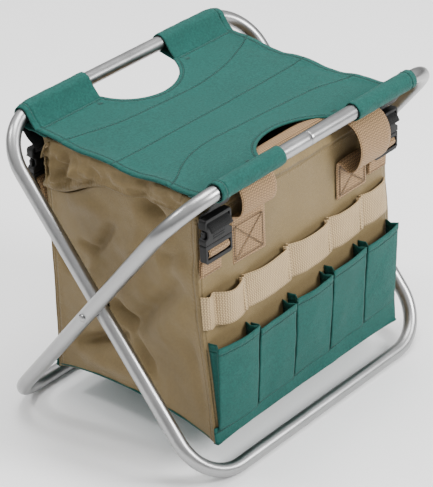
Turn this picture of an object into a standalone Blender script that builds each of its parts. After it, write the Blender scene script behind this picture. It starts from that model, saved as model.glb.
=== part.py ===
"""Folding garden stool: two crossed tube hoops, a canvas seat and a tool bag hung from four buckles.

Metres. X runs along the bars, -Y is the pocket side, +Z is up and the floor is z = 0.
"""

import math

import bmesh
import bpy
from mathutils import Matrix, Vector

# ---- frame ------------------------------------------------------------------
TUBE_R = 0.0080  # 16 mm tube
TUBE_WALL = 0.0012
SIDES = 20
FLOOR_Z = TUBE_R * math.cos(math.pi / SIDES)  # a flat of the tube rests on the floor
LEG = 0.428  # between the two bar centre lines of a hoop
LEG_BELOW = 0.2155  # floor bar to pivot, along the leg
LEAN = math.radians(39.2)
BEND_R = 0.055
OUTER_W = 0.411  # between the leg centre lines
INNER_W = 0.375
PIVOT_Z = FLOOR_Z + LEG_BELOW * math.cos(LEAN)
TOP_Z = FLOOR_Z + LEG * math.cos(LEAN)
TOP_Y = (LEG - LEG_BELOW) * math.sin(LEAN)
GAP = 0.0003
OUTER_SEAM_X = -0.015  # butt joint of the outer hoop, bare in the hand gap
INNER_SEAM_X = 0.105  # butt joint of the inner hoop, under its sleeve
JOINT_SLEEVE_LEN = 0.050
RIVET_R = 0.0025
RIVET_HOLE_R = 0.0026

# ---- seat -------------------------------------------------------------------
SEAT_HALF_W = 0.152
SLEEVE_IN = 0.058  # sleeves stop here, either side of the hand gap
SLEEVE_R = TUBE_R + GAP + 0.0013
SEAT_T = 0.0016
SEAT_HALF_D = 0.1235
SEAT_Z = 0.3225
HAND_R = 0.0605

# ---- bag --------------------------------------------------------------------
BAG_HALF_W = 0.1510
CLOTH = 0.0016
BASE_Z = 0.0400
FRONT_LEAN = ((0.038, -0.1212), (0.160, -0.1120), (0.210, -0.1085))  # (z, y) down the front panel
HEM_Z = 0.2940
RIM_Z = 0.3140
REAR_DROOP = 0.0130  # the rear wall hangs this much lower between its buckles
POCKETS = 5
POCKET_LOW = 0.0612
POCKET_HIGH = 0.1580
LOOP_LOW = 0.1745
LOOP_HIGH = 0.2125
LOOP_STITCHES = (-0.149, -0.091, -0.022, 0.043, 0.101, 0.146)
LOOP_BULGE = 0.0090
HANDLE_W = 0.050
HANDLE_X = 0.082
BUCKLE_X = 0.138
FRONT_RIGHT_BUCKLE_X = 0.1285
BUCKLE_W = 0.040
STRAP_W = 0.032
BUCKLE_Y = 0.1195
BUCKLE_LOW = 0.2775
BUCKLE_HIGH = 0.3060
BUCKLE_HALF_T = 0.0045
PLUG_LOW = 0.2590
SLOT_HALF = 0.0166  # half the width of the strap slots
BUCKLE_SLOT_Y = 0.1262
BUCKLE_SLOT_Z = 0.3010

TAN = (0.262, 0.187, 0.106, 1)
WEB = (0.520, 0.352, 0.215, 1)
GREEN = (0.082, 0.222, 0.188, 1)
BLACK = (0.018, 0.019, 0.019, 1)
METAL = (0.62, 0.62, 0.63, 1)

MERGE = 0.000001  # points closer than this are one point
ALONG_X = Matrix(((0, 0, 1, 0), (1, 0, 0, 0), (0, 1, 0, 0), (0, 0, 0, 1)))  # outline in Y and Z
ALONG_Z = Matrix.Identity(4)  # outline in X and Y


def clear_scene():
    for obj in list(bpy.data.objects):
        bpy.data.objects.remove(obj, do_unlink=True)


def new_collection(name):
    collection = bpy.data.collections.new(name)
    bpy.context.scene.collection.children.link(collection)
    return collection


def give_material(obj, colour, metallic, roughness):
    material = bpy.data.materials.new(obj.name + "_look")
    material.use_nodes = True
    shader = material.node_tree.nodes["Principled BSDF"]
    shader.inputs["Base Color"].default_value = colour
    shader.inputs["Metallic"].default_value = metallic
    shader.inputs["Roughness"].default_value = roughness
    material.diffuse_color = colour
    obj.data.materials.append(material)


def add(name, mesh, look, smooth=False):
    """Links a mesh as a part, with coincident points merged and its faces turned outward."""
    work = bmesh.new()
    work.from_mesh(mesh)
    bmesh.ops.remove_doubles(work, verts=work.verts, dist=MERGE)
    bmesh.ops.recalc_face_normals(work, faces=work.faces)
    work.to_mesh(mesh)
    work.free()
    mesh.polygons.foreach_set("use_smooth", [smooth] * len(mesh.polygons))
    obj = bpy.data.objects.new(name, mesh)
    PARTS.objects.link(obj)
    if look:
        give_material(obj, *look)
    return obj


def evaluated_mesh(name, data, prepare=None):
    """The mesh that a curve, or a mesh with the modifier that prepare adds, comes out as."""
    holder = bpy.data.objects.new(name, data)
    PARTS.objects.link(holder)
    if prepare:
        prepare(holder)
    graph = bpy.context.evaluated_depsgraph_get()
    mesh = bpy.data.meshes.new_from_object(holder.evaluated_get(graph), depsgraph=graph)
    bpy.data.objects.remove(holder, do_unlink=True)
    return mesh


def extruded(name, outline, low, high, look, frame=ALONG_X):
    """A flat outline, filled on both sides and carried from low to high along the frame's third axis."""
    curve = bpy.data.curves.new(name, "CURVE")
    curve.dimensions = "2D"
    curve.fill_mode = "BOTH"
    curve.extrude = (high - low) / 2
    spline = curve.splines.new("POLY")
    spline.points.add(len(outline) - 1)
    for point, (a, b) in zip(spline.points, outline):
        point.co = (a, b, 0, 1)
    spline.use_cyclic_u = True
    mesh = evaluated_mesh(name, curve)
    mesh.transform(frame @ Matrix.Translation((0, 0, (low + high) / 2)))
    return add(name, mesh, look)


def box(name, low, high, look):
    low, high = Vector(low), Vector(high)
    place = Matrix.Translation((low + high) / 2) @ Matrix.Diagonal((*(high - low), 1))
    work = bmesh.new()
    bmesh.ops.create_cube(work, size=1, matrix=place)
    mesh = bpy.data.meshes.new(name)
    work.to_mesh(mesh)
    work.free()
    return add(name, mesh, look)


def cylinder(name, radius, length, place, sides):
    """A plain cylinder along the Z axis of its placing matrix."""
    work = bmesh.new()
    bmesh.ops.create_cone(
        work,
        cap_ends=True,
        segments=sides,
        radius1=radius,
        radius2=radius,
        depth=length,
        matrix=place,
    )
    mesh = bpy.data.meshes.new(name)
    work.to_mesh(mesh)
    work.free()
    return add(name, mesh, None)


def ribbon(line, thickness):
    """Outline of a strip of this thickness along a line in the Y-Z plane."""
    left, right = [], []
    for i, (y, z) in enumerate(line):
        before = Vector(line[max(i - 1, 0)])
        after = Vector(line[min(i + 1, len(line) - 1)])
        along = (after - before).normalized()
        side = Vector((-along.y, along.x)) * thickness / 2
        left.append((y + side.x, z + side.y))
        right.append((y - side.x, z - side.y))
    return left + right[::-1]


def cutter(name, tool):
    """Moves a cutting solid out of the parts, hidden from renders."""
    tool.hide_render = True
    tool.display_type = "WIRE"
    PARTS.objects.unlink(tool)
    CUTTERS.objects.link(tool)
    tool.name = name
    return tool


def boolean(obj, other, operation):
    modifier = obj.modifiers.new(operation.title(), "BOOLEAN")
    modifier.operation = operation
    modifier.solver = "EXACT"
    modifier.object = other


def turned(name, profile, look, centre, steps=24, closed=False):
    """A profile of (x, radius) turned about a line along X."""
    edges = [(i, i + 1) for i in range(len(profile) - 1)]
    if closed:
        edges.append((len(profile) - 1, 0))
    outline = bpy.data.meshes.new(name)
    outline.from_pydata([(x, radius, 0) for x, radius in profile], edges, [])

    def add_screw(holder):
        screw = holder.modifiers.new("Turn", "SCREW")
        screw.axis = "X"
        screw.steps = steps
        screw.render_steps = steps
        screw.use_merge_vertices = True
        screw.merge_threshold = MERGE

    mesh = evaluated_mesh(name, outline, add_screw)
    mesh.transform(Matrix.Translation(centre))
    return add(name, mesh, look, smooth=True)


def mirrored(profile):
    return [(-x, radius) for x, radius in profile]


def hoop_path(width, seam_x):
    """Centre line of a hoop in its own plane as (u, s), from the seam round to the seam."""
    half = width / 2
    corners = (
        (half - BEND_R, LEG - BEND_R, 90, 0),
        (half - BEND_R, BEND_R, 0, -90),
        (-half + BEND_R, BEND_R, -90, -180),
        (-half + BEND_R, LEG - BEND_R, 180, 90),
    )
    path = [(seam_x + GAP / 2, LEG)]
    for cu, cs, start, end in corners:
        for k in range(9):
            a = math.radians(start + (end - start) * k / 8)
            path.append((cu + BEND_R * math.cos(a), cs + BEND_R * math.sin(a)))
    path.append((seam_x - GAP / 2, LEG))
    return path


def sweep_tube(name, side, path, r_out, r_in, look):
    """Hollow tube along part of a hoop. side is -1 when the hoop's top bar is at -Y."""
    curve = bpy.data.curves.new(name, "CURVE")
    curve.dimensions = "3D"
    curve.twist_mode = "Z_UP"
    curve.bevel_depth = r_out
    curve.bevel_resolution = (SIDES - 4) // 2
    spline = curve.splines.new("POLY")
    spline.points.add(len(path) - 1)
    for point, (u, s) in zip(spline.points, path):
        point.co = (u, s, 0, 1)
        point.tilt = math.pi / SIDES - side * LEAN  # turns a flat of the tube to face the floor
    mesh = evaluated_mesh(name, curve)
    s_dir = Vector((0, side * math.sin(LEAN), math.cos(LEAN)))
    u_dir = Vector((1, 0, 0))
    frame = Matrix((u_dir, s_dir, u_dir.cross(s_dir))).transposed().to_4x4()
    frame.translation = (0, -side * LEG_BELOW * math.sin(LEAN), FLOOR_Z)
    mesh.transform(frame)
    obj = add(name, mesh, look, smooth=True)
    wall = obj.modifiers.new("Wall", "SOLIDIFY")
    wall.thickness = r_out - r_in
    wall.offset = -1
    wall.use_even_offset = True
    return obj


def hoop(name, width, side, seam_x):
    """A hoop closed by a butt joint, drilled through both legs for the rivets."""
    path = hoop_path(width, seam_x)
    obj = sweep_tube(name, side, path, TUBE_R, TUBE_R - TUBE_WALL, (METAL, 1.0, 0.32))
    for end in (-1, 1):
        place = Matrix.Translation((end * width / 2, 0, PIVOT_Z)) @ Matrix.Rotation(math.pi / 2, 4, "Y")
        hole = cylinder("rivet_hole", RIVET_HOLE_R, 3 * TUBE_R, place, 24)
        boolean(obj, cutter(f"{name}_hole_{end}", hole), "DIFFERENCE")
    return obj


def sleeve_path(width, end):
    """Centre line under a seat sleeve: straight, then round the bend as far as the canvas reaches."""
    start = width / 2 - BEND_R
    path = [(end * SLEEVE_IN, LEG), (end * min(start, SEAT_HALF_W), LEG)]
    if start < SEAT_HALF_W - 0.005:
        last = math.acos((SEAT_HALF_W - start) / BEND_R)
        for k in range(1, 4):
            a = math.pi / 2 + (last - math.pi / 2) * k / 3
            path.append((end * (start + BEND_R * math.cos(a)), LEG - BEND_R + BEND_R * math.sin(a)))
    return path


def ring_x(name, r_in, r_out, x_low, x_high, centre_yz, look, steps=24):
    profile = [(x_low, r_in), (x_high, r_in), (x_high, r_out), (x_low, r_out)]
    return turned(name, profile, look, (0, *centre_yz), steps, closed=True)


def side_name(end):
    return "left" if end < 0 else "right"


def make_frame():
    outer = [hoop("outer_hoop_tube", OUTER_W, -1, OUTER_SEAM_X)]
    inner = [hoop("inner_hoop_tube", INNER_W, 1, INNER_SEAM_X)]
    bore = TUBE_R - TUBE_WALL
    for name, seam, y, group in (
        ("outer_hoop_joint_sleeve", OUTER_SEAM_X, -TOP_Y, outer),
        ("inner_hoop_joint_sleeve", INNER_SEAM_X, TOP_Y, inner),
    ):
        low, high = seam - JOINT_SLEEVE_LEN / 2, seam + JOINT_SLEEVE_LEN / 2
        r_out = bore * math.cos(math.pi / SIDES) - 0.00015
        group.append(ring_x(name, 0.0053, r_out, low, high, (y, TOP_Z), (METAL, 1.0, 0.45), SIDES))
    face_a = OUTER_W / 2 + TUBE_R + GAP
    face_b = INNER_W / 2 - TUBE_R - GAP
    for end in (-1, 1):
        name = side_name(end)
        centre = (0, 0, PIVOT_Z)
        rivet = [
            (face_b - 0.0033, 0),
            (face_b - 0.0033, 0.0028),
            (face_b - 0.0024, 0.0040),
            (face_b - 0.0013, 0.0043),
            (face_b - 0.0013, RIVET_R),
            (face_a, RIVET_R),
            (face_a, 0.0044),
            (face_a + 0.0008, 0.0042),
            (face_a + 0.0018, 0.0030),
            (face_a + 0.0023, 0.0014),
            (face_a + 0.0024, 0),
        ]
        profile = rivet if end > 0 else mirrored(rivet)
        outer.append(turned(f"pivot_rivet_{name}", profile, (METAL, 1.0, 0.25), centre))
        low, high = sorted((end * (INNER_W / 2 + TUBE_R + GAP), end * (OUTER_W / 2 - TUBE_R - GAP)))
        axis = (0, PIVOT_Z)
        outer.append(ring_x(f"pivot_spacer_{name}", 0.0028, 0.0068, low, high, axis, (BLACK, 0.0, 0.5)))
        low, high = sorted((end * face_b, end * (face_b - 0.0010)))
        outer.append(ring_x(f"pivot_washer_{name}", 0.0028, 0.0056, low, high, axis, (METAL, 1.0, 0.35)))
    return outer, inner


def seat_line(y):
    return SEAT_Z + 0.0062 * max(0.0, (abs(y) - 0.020) / (SEAT_HALF_D - 0.020)) ** 1.6


def make_seat():
    front, rear = [], []
    stations = [-SEAT_HALF_D, -0.112, -0.098, -0.078, -0.050, -0.020]
    line = [(y, seat_line(y)) for y in stations + [-y for y in stations[::-1]]]
    panel = extruded("seat_canvas", ribbon(line, SEAT_T), -SEAT_HALF_W, SEAT_HALF_W, (GREEN, 0.0, 0.85))
    for side in (-1, 1):
        hole = cylinder("hand_hole", HAND_R, 0.060, Matrix.Translation((0, side * TOP_Y, SEAT_Z)), 40)
        boolean(panel, cutter(f"hand_hole_{side}", hole), "DIFFERENCE")
        group = front if side < 0 else rear
        where = "front" if side < 0 else "rear"
        for end in (-1, 1):
            name = f"seat_sleeve_{where}_{side_name(end)}"
            width = OUTER_W if side < 0 else INNER_W
            look = (GREEN, 0.0, 0.85)
            group.append(sweep_tube(name, side, sleeve_path(width, end), SLEEVE_R, TUBE_R + GAP, look))
    front.append(panel)
    return front, rear


def front_y(z):
    """Outer face of the front panel: it leans out towards the base."""
    for (z0, y0), (z1, y1) in zip(FRONT_LEAN, FRONT_LEAN[1:]):
        if z <= z1:
            return y0 + (y1 - y0) * (z - z0) / (z1 - z0)
    return -0.1085


def rear_y(z):
    return min(0.1150, max(0.1085, 0.1150 - 0.04 * (z - BASE_Z)))


def wall_outline(face, low, high, out_gap, thickness, outward):
    """Outline of a sheet that follows a bag face, out_gap off it, from z low to z high."""
    stops = [low] + [z for z in (0.160, 0.2025, 0.210) if low < z < high] + [high]
    near = [(face(z) + outward * out_gap, z) for z in stops]
    far = [(face(z) + outward * (out_gap + thickness), z) for z in stops]
    return near + far[::-1]


def make_bag_shell():
    tan = (TAN, 0.0, 0.8)
    green = (GREEN, 0.0, 0.85)
    low = BASE_Z + CLOTH + GAP
    front = wall_outline(front_y, low, HEM_Z - GAP, 0, CLOTH, 1)
    rear = wall_outline(rear_y, low, HEM_Z - GAP - REAR_DROOP, 0, CLOTH, -1)
    parts = [
        extruded("bag_front_panel", front, -BAG_HALF_W, BAG_HALF_W, tan),
        extruded("bag_rear_panel", rear, -BAG_HALF_W, BAG_HALF_W, tan),
    ]
    inset = CLOTH + GAP
    stops = [low, 0.160, 0.210, HEM_Z - GAP]
    end_outline = [(front_y(z) + inset, z) for z in stops] + [(rear_y(z) - inset, z) for z in stops[::-1]]
    hem_t = 0.0026
    hem_front = -0.1085 - 0.0010
    hem_rear = 0.1085 + 0.0010
    hem_look = (TAN, 0.0, 0.8)
    for end in (-1, 1):
        x_low, x_high = sorted((end * BAG_HALF_W, end * (BAG_HALF_W - CLOTH)))
        parts.append(extruded(f"bag_end_{side_name(end)}", end_outline, x_low, x_high, tan))
        x_low, x_high = sorted((end * BAG_HALF_W, end * (BAG_HALF_W - hem_t)))
        corner_low = (x_low, hem_front + hem_t + GAP, HEM_Z)
        corner_high = (x_high, hem_rear - hem_t - GAP, RIM_Z)
        parts.append(box(f"bag_hem_{side_name(end)}", corner_low, corner_high, hem_look))
    for where, y, droop in (("front", hem_front, 0), ("rear", hem_rear - hem_t, REAR_DROOP)):
        corner_low = (-BAG_HALF_W, y, HEM_Z - droop)
        corner_high = (BAG_HALF_W, y + hem_t, RIM_Z - droop)
        parts.append(box(f"bag_hem_{where}", corner_low, corner_high, hem_look))
    base_low = (-BAG_HALF_W, front_y(BASE_Z), BASE_Z)
    parts.append(box("bag_base", base_low, (BAG_HALF_W, rear_y(BASE_Z), BASE_Z + CLOTH), green))
    board_low = (-0.1480, -0.1175, low)
    parts.append(box("base_board", board_low, (0.1480, 0.1120, low + 0.0025), (BLACK, 0.0, 0.6)))
    for where, face, outward in (("front", front_y, -1), ("rear", rear_y, 1)):
        outline = wall_outline(face, BASE_Z - 0.0015, 0.0606, GAP, 0.0020, outward)
        parts.append(extruded(f"base_band_{where}", outline, -BAG_HALF_W, BAG_HALF_W, green))
    return parts


def make_pockets():
    parts = []
    wall = 0.0013
    step = 2 * 0.1490 / POCKETS
    for n in range(POCKETS):
        x_low = -0.1490 + n * step + GAP / 2
        x_high = x_low + step - GAP
        back_low = front_y(POCKET_LOW) - GAP
        back_mid = front_y(POCKET_HIGH) - GAP
        outline = [
            (back_low, POCKET_LOW),
            (-0.1243, POCKET_LOW),
            (-0.1290, POCKET_HIGH),
            (back_mid, POCKET_HIGH),
        ]
        pocket = extruded(f"pocket_{n + 1}", outline, x_low, x_high, (GREEN, 0.0, 0.85))
        floor = POCKET_LOW + wall
        hollow = [(-0.1100, floor), (-0.1243 + wall, floor), (-0.12924 + wall, 0.1630), (-0.1000, 0.1630)]
        space = extruded("space", hollow, x_low + wall, x_high - wall, None)
        boolean(pocket, cutter(f"pocket_{n + 1}_space", space), "DIFFERENCE")
        parts.append(pocket)
    return parts


def make_tool_loops():
    """One strip of webbing sewn down between loops."""
    seated = front_y(LOOP_LOW) - GAP - 0.0010
    line = []
    for a, b in zip(LOOP_STITCHES, LOOP_STITCHES[1:]):
        for k in range(8):
            t = k / 8
            line.append((a + (b - a) * t, seated - LOOP_BULGE * math.sin(math.pi * t) ** 0.8))
    line.append((LOOP_STITCHES[-1], seated))
    outline = ribbon(line, 0.0020)
    return [extruded("tool_loop_webbing", outline, LOOP_LOW, LOOP_HIGH, (WEB, 0.0, 0.8), ALONG_Z)]


def make_handles():
    parts = []
    for where, side in (("front", -1), ("rear", 1)):
        look = (WEB, 0.0, 0.8)
        face = front_y if side < 0 else rear_y
        patch = abs(face(0.228)) + GAP + 0.0010
        hem = 0.1095 + GAP + 0.0010
        rim = RIM_Z - (REAR_DROOP if side > 0 else 0)
        top = rim + GAP + 0.0010
        patch_top = (side * patch, rim - 0.0280)
        line = [(side * patch, 0.2280), patch_top, (side * hem, rim - 0.0215), (side * hem, top)]
        outline = ribbon(line, 0.0020)
        inner, outer = HANDLE_X - HANDLE_W / 2, HANDLE_X + HANDLE_W / 2
        strap = extruded(f"handle_{where}", outline, -outer, -inner, look)
        other = extruded("other_leg", outline, inner, outer, None)
        grip_y = sorted((side * (hem + 0.0010), side * (hem - 0.0140)))
        reach = HANDLE_X + HANDLE_W / 2 - 0.0005
        grip = box("grip", (-reach, grip_y[0], rim + GAP), (reach, grip_y[1], rim + GAP + 0.0020), None)
        boolean(strap, cutter(f"handle_{where}_leg", other), "UNION")
        boolean(strap, cutter(f"handle_{where}_grip", grip), "UNION")
        parts.append(strap)
    return parts


def make_buckle(where, side, end):
    """Housing hung from the bar, plug sewn to the bag: returns (housing, strap, bag pieces)."""
    name = f"{where}_{side_name(end)}"
    x = FRONT_RIGHT_BUCKLE_X if name == "front_right" else end * BUCKLE_X
    y = side * BUCKLE_Y
    plastic = (BLACK, 0.0, 0.4)
    half = BUCKLE_W / 2
    near, far = y - BUCKLE_HALF_T, y + BUCKLE_HALF_T
    low = BUCKLE_LOW
    housing = box(f"buckle_housing_{name}", (x - half, near, low), (x + half, far, BUCKLE_HIGH), plastic)
    inside = half - 0.0024
    mouth = box("mouth", (x - inside, y - 0.0030, low - 0.002), (x + inside, y + 0.0030, 0.2965), None)
    outside = half + 0.002
    window = box("window", (x - outside, y - 0.0024, 0.2840), (x + outside, y + 0.0024, 0.2935), None)
    slot = box("slot", (x - SLOT_HALF, y - 0.006, 0.2990), (x + SLOT_HALF, y + 0.006, 0.3030), None)
    for label, tool in (("mouth", mouth), ("window", window), ("slot", slot)):
        boolean(housing, cutter(f"housing_{name}_{label}", tool), "DIFFERENCE")
    hang = [
        (side * 0.1130, 0.3012),
        (side * 0.1262, 0.3016),
        (side * 0.1275, 0.3080),
        (side * 0.1320, TOP_Z - SLEEVE_R - (0.0010 if side < 0 else 0.0070)),
    ]
    left, right = x - STRAP_W / 2, x + STRAP_W / 2
    strap = extruded(f"hanger_strap_{name}", ribbon(hang, 0.0016), left, right, (BLACK, 0.0, 0.8))
    plug = box(f"buckle_plug_{name}", (x - half, near, PLUG_LOW), (x + half, far, low - GAP), plastic)
    for n, offset in enumerate((-0.0135, 0, 0.0135)):
        middle = x + offset
        prong = box("prong", (middle - 0.0032, y - 0.0020, 0.2760), (middle + 0.0032, y + 0.0020, 0.2950), None)
        boolean(plug, cutter(f"plug_{name}_prong_{n}", prong), "UNION")
    slot = box("slot", (x - SLOT_HALF, y - 0.006, 0.2635), (x + SLOT_HALF, y + 0.006, 0.2715), None)
    boolean(plug, cutter(f"plug_{name}_slot", slot), "DIFFERENCE")
    flat = abs((front_y if side < 0 else rear_y)(0.233)) + GAP + 0.0009
    line = [(flat, 0.2330), (flat, 0.2600), (flat + 0.0012, 0.2660), (BUCKLE_SLOT_Y, 0.2680)]
    outline = ribbon([(side * y, z) for y, z in line], 0.0016)
    tab = extruded(f"buckle_tab_{name}", outline, left, right, (WEB, 0.0, 0.8))
    return housing, strap, [plug, tab]


def hang_from(parts, name, place):
    """Parents moving pieces to an empty on their joint axis."""
    empty = bpy.data.objects.new(name, None)
    empty.location = place
    PARTS.objects.link(empty)
    bpy.context.view_layer.update()
    for part in parts:
        part.parent = empty
        part.matrix_parent_inverse = empty.matrix_world.inverted()


clear_scene()
PARTS = new_collection("garden_kneeler_seat")
CUTTERS = new_collection("cutters")
outer_frame, inner_frame = make_frame()
seat_front, seat_rear = make_seat()
bag = make_bag_shell() + make_pockets() + make_tool_loops() + make_handles()
rear_housings = []
for side_y in (-1, 1):
    place_name = "front" if side_y < 0 else "rear"
    for end_x in (-1, 1):
        housing_piece, strap_piece, bag_pieces = make_buckle(place_name, side_y, end_x)
        (seat_front if side_y < 0 else seat_rear).append(strap_piece)
        (seat_front if side_y < 0 else rear_housings).append(housing_piece)
        bag.extend(bag_pieces)
is_rear = [part for part in bag if "rear" in part.name]
is_front = [part for part in bag if "rear" not in part.name]
hang_from(inner_frame + seat_rear, "fold_axis", (0, 0, PIVOT_Z))
hang_from(rear_housings, "rear_buckle_axis", (0, BUCKLE_SLOT_Y, BUCKLE_SLOT_Z))
hang_from(is_rear, "rear_release_axis", (0, BUCKLE_Y, BUCKLE_LOW))
hang_from(is_front, "bag_release_axis", (0, 0, BASE_Z))
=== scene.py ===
"""Looks for the folding garden stool: satin tubes, a stitched canvas seat and a pocketed tool bag.

Metres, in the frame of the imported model: X along the bars, -Y the pocket side, +Z up.
Throughout, side is -1 at the front and 1 at the rear, and end is -1 at the left and 1 at the right.
"""
from math import acos, asin, atan2, cos, degrees, exp, hypot, pi, radians, sin, sqrt

import bmesh
import bpy
import numpy as np
from mathutils import Matrix, Vector, noise


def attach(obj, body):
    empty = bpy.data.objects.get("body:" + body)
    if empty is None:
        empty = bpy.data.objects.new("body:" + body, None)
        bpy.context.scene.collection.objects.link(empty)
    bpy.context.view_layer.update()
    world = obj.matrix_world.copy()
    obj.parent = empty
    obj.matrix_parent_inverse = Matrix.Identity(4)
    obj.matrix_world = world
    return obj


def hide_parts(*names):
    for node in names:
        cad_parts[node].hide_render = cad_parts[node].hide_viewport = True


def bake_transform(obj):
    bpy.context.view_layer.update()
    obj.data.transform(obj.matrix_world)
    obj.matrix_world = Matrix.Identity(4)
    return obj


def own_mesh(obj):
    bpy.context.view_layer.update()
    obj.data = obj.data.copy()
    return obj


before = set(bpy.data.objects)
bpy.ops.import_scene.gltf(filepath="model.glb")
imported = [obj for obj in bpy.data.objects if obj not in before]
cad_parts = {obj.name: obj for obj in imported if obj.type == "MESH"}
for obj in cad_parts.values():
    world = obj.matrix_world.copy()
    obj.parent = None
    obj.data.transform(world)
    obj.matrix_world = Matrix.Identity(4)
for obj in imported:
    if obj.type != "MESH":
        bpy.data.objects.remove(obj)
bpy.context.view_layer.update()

SIDES = ENDS = (-1, 1)
WHERE = {-1: "front", 1: "rear"}
HAND = {-1: "left", 1: "right"}
HOOP_BODY = {-1: "outer_frame", 1: "inner_frame"}
BAG_BODY = {-1: "bag", 1: "bag_rear"}

# ---- frame
TUBE_R = 0.008
TUBE_SIDES = 40
FLOOR_Z = TUBE_R * cos(pi / 20)  # the CAD tube has 20 sides and stands on a flat one
LEG = 0.428
LEG_BELOW = 0.2155
LEAN = radians(39.2)
BEND_R = 0.055
BEND_STEPS = 24
HOOP_W = {-1: 0.411, 1: 0.375}
TOP_Z = FLOOR_Z + LEG * cos(LEAN)
TOP_Y = (LEG - LEG_BELOW) * sin(LEAN)

# ---- seat
SEAT_HALF_W = 0.152
SLEEVE_IN = 0.058
SEAT_Z = 0.3225
HAND_R = 0.0605
HOLE_HEM_R = HAND_R + 0.0045
SLEEVE_SEAM_Y = 0.113  # where a sleeve is sewn down to the seat
STITCH_ROW_Y = 0.1085
CENTRE_SEAM_Y = 0.0055
SIDE_SEAM_X = 0.145
CANVAS_T = 0.0013
FRONT_ARC = ((-0.155, -0.076), (-0.135, -0.067), (-0.112, -0.053), (-0.086, -0.042), (-0.05, -0.037),
             (-0.01, -0.0395), (0.038, -0.042), (0.08, -0.046), (0.11, -0.051), (0.155, -0.069))
REAR_ARC = ((-0.155, 0.078), (-0.134, 0.074), (-0.075, 0.0605), (0, 0.057), (0.045, 0.0565), (0.091, 0.065),
            (0.128, 0.078), (0.155, 0.09))

# ---- bag
BAG_HALF_W = 0.151
BASE_Z = 0.0385
HEM_Z = 0.296
RIM_Z = 0.316
END_RIM_Z = 0.3205
REAR_DROOP = 0.0135
CLOTH_T = 0.0011
BAND_TOP = 0.061
BAND_HEM = 0.0045
BAND_COLUMNS = 101
WALL_LINES = {  # heights, and where the outer face of the wall stands at each
    -1: ((0.038, 0.16, 0.21, 0.4), (-0.1212, -0.112, -0.1085, -0.1085)),
    1: ((0.038, 0.2, 0.4), (0.115, 0.1085, 0.1085)),
}
HEM_PROFILE = ((0.0, 0), (0.2, 0), (0.4, 0), (0.6, 0), (0.8, 0), (0.95, 0), (1.0, 0.0006), (1.0, 0.002),
               (0.93, 0.0028), (0.7, 0.0028))  # share of the height, and how far in
END_FOLDS = (
    # start, end, width, height (negative goes in)
    ((-0.028, 0.291), (-0.058, 0.278), 0.012, -0.008),
    ((0.015, 0.245), (0.043, 0.205), 0.0072, -0.004),
    ((0.043, 0.205), (0.063, 0.211), 0.007, -0.0028),
    ((-0.003, 0.224), (-0.04, 0.247), 0.011, 0.0032),
    ((-0.054, 0.237), (-0.098, 0.256), 0.011, -0.004),
    ((0.027, 0.15), (-0.005, 0.132), 0.01, -0.0062),
    ((-0.005, 0.132), (-0.076, 0.21), 0.012, -0.0048),
    ((-0.03, 0.122), (-0.088, 0.188), 0.022, 0.0036),
    ((-0.01, 0.12), (-0.032, 0.084), 0.009, -0.0044),
    ((-0.052, 0.26), (-0.104, 0.222), 0.02, 0.0034),
    ((0.074, 0.08), (0.008, 0.114), 0.009, -0.008),
    ((0.07, 0.066), (-0.01, 0.076), 0.013, 0.0036),
    ((0.06, 0.158), (0.041, 0.197), 0.01, 0.0034),
    ((0.08, 0.17), (0.099, 0.198), 0.008, -0.0034),
    ((0.07, 0.255), (0.034, 0.262), 0.013, 0.0026),
    ((-0.085, 0.15), (-0.11, 0.062), 0.011, -0.0028),
)
FOLD_GAIN = 2.2
FOLD_NARROWING = 0.86

# ---- pockets and loops
POCKET_TOPS = (0.1545, 0.151, 0.157, 0.162, 0.164)
POCKETS_HALF_W = 0.149
POCKET_HEM = 0.0085
FACE_STEPS = 24
LOOP_Z = 0.1935
LOOP_W = 0.038
LOOP_RISE = 0.004  # how much higher the webbing is at the right
LOOP_STITCHES = (-0.091, -0.02, 0.045, 0.1, 0.146)
LOOP_SWELLS = (0.0078, 0.0074, 0.007, 0.0056)
LOOP_PROFILE = ((0.1, 0.42), (0.3, 0.86), (0.55, 1), (0.78, 0.92))  # share of a loop's width and of its swell
FIRST_LOOPS = ((-0.15, 0.0008), (-0.147, 0.0042), (-0.1425, 0.0058), (-0.1375, 0.003), (-0.1345, 0.0016),
               (-0.131, 0.005), (-0.124, 0.01), (-0.115, 0.011), (-0.103, 0.0075), (-0.0945, 0.003))

# ---- handles and buckles
HANDLE_W = 0.05
HANDLE_X = 0.082
PATCH_LOW = 0.227
PATCH_INSET = 0.004
PATCH_HALF_W = 0.0205
LOW_LEG = ((0.1108, PATCH_LOW), (0.1108, 0.24))
LEFT_LEG = LOW_LEG + ((0.1106, 0.26), (0.1108, 0.277), (0.1126, 0.283), (0.1175, 0.2852), (0.1228, 0.2872),
                      (0.1262, 0.2925), (0.1278, 0.3), (0.1272, 0.3085), (0.1235, 0.317), (0.116, 0.3215),
                      (0.106, 0.3212), (0.096, 0.3185), (0.088, 0.3172))
REAR_LEG = LOW_LEG + ((0.1106, 0.258), (0.111, 0.272), (0.1124, 0.279), (0.1128, 0.285), (0.11, 0.2905),
                      (0.104, 0.2955), (0.098, 0.2975), (0.09, 0.2965))
RIGHT_LEG = LOW_LEG + ((0.1106, 0.256), (0.1108, 0.267), (0.1126, 0.2725), (0.1165, 0.2712), (0.1205, 0.2665),
                       (0.1262, 0.264), (0.1325, 0.268), (0.1372, 0.2775), (0.1392, 0.29), (0.1372, 0.303),
                       (0.1318, 0.314), (0.124, 0.3205), (0.115, 0.3228), (0.105, 0.3215), (0.096, 0.319),
                       (0.088, 0.3172))
GRIP = ((-0.108, 0.0905, 0.3172), (-0.06, 0.09, 0.319), (0.0, 0.0885, 0.3182), (0.06, 0.0895, 0.3192),
        (0.11, 0.0905, 0.3172))
REAR_GRIP_DROP = 0.021
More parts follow.
